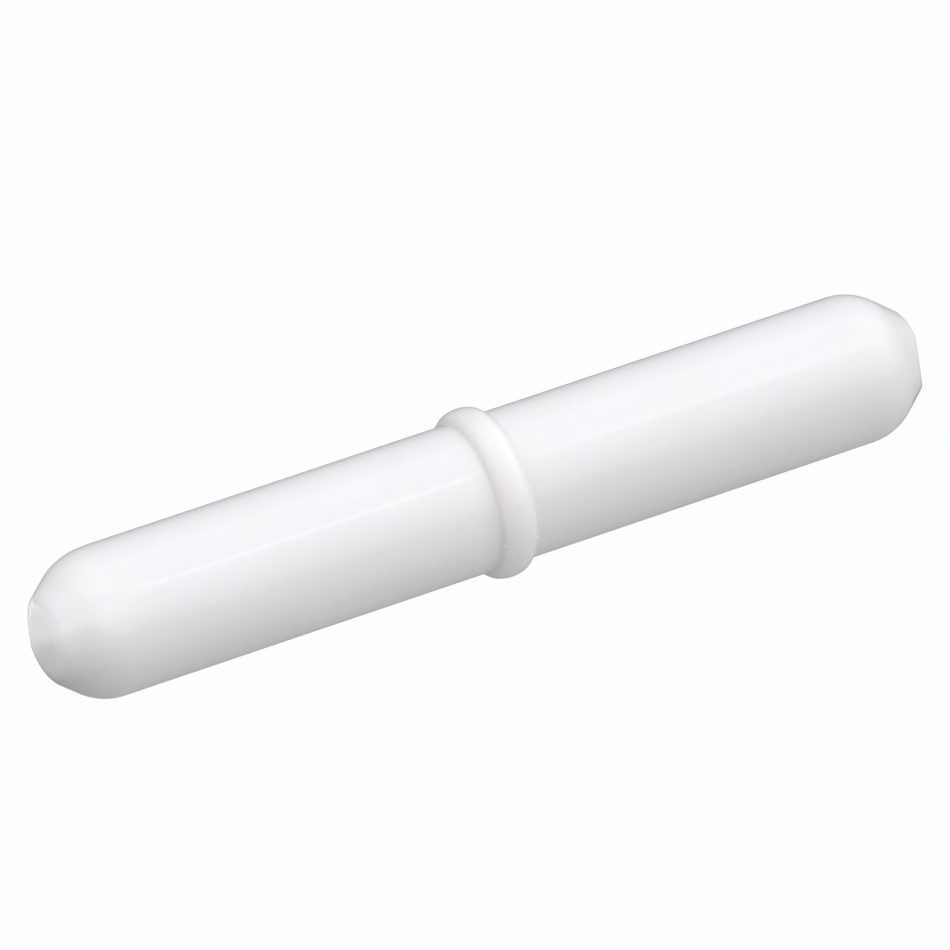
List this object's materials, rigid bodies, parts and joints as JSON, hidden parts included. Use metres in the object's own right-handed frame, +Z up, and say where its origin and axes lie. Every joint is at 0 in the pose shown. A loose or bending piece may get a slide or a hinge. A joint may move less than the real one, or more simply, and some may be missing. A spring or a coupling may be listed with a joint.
{
  "type": "magnetic stir bar",
  "caption": "White cylindrical stirring bar with a rounded pivot ring round its middle, blunt conical noses and a bar magnet sealed inside.",
  "frame": {"origin": "on the floor under the middle of the bar's length and width", "axes": "+X along the bar, away from the nose that rests on the floor; +Z up; the bar's own axis rises 1.53 degrees towards +X, because it rests on the ring's crest and on the shoulder of the nose at -X"},
  "size_m": [0.0508, 0.0092, 0.0092],
  "materials": {
    "jacket": "smooth moulded fluoropolymer, white and slightly translucent, waxy gloss",
    "magnet": "ground cast magnet alloy"
  },
  "bodies": {
    "root": {"jacket": "jacket", "magnet": "magnet"}
  },
  "joints": []
}
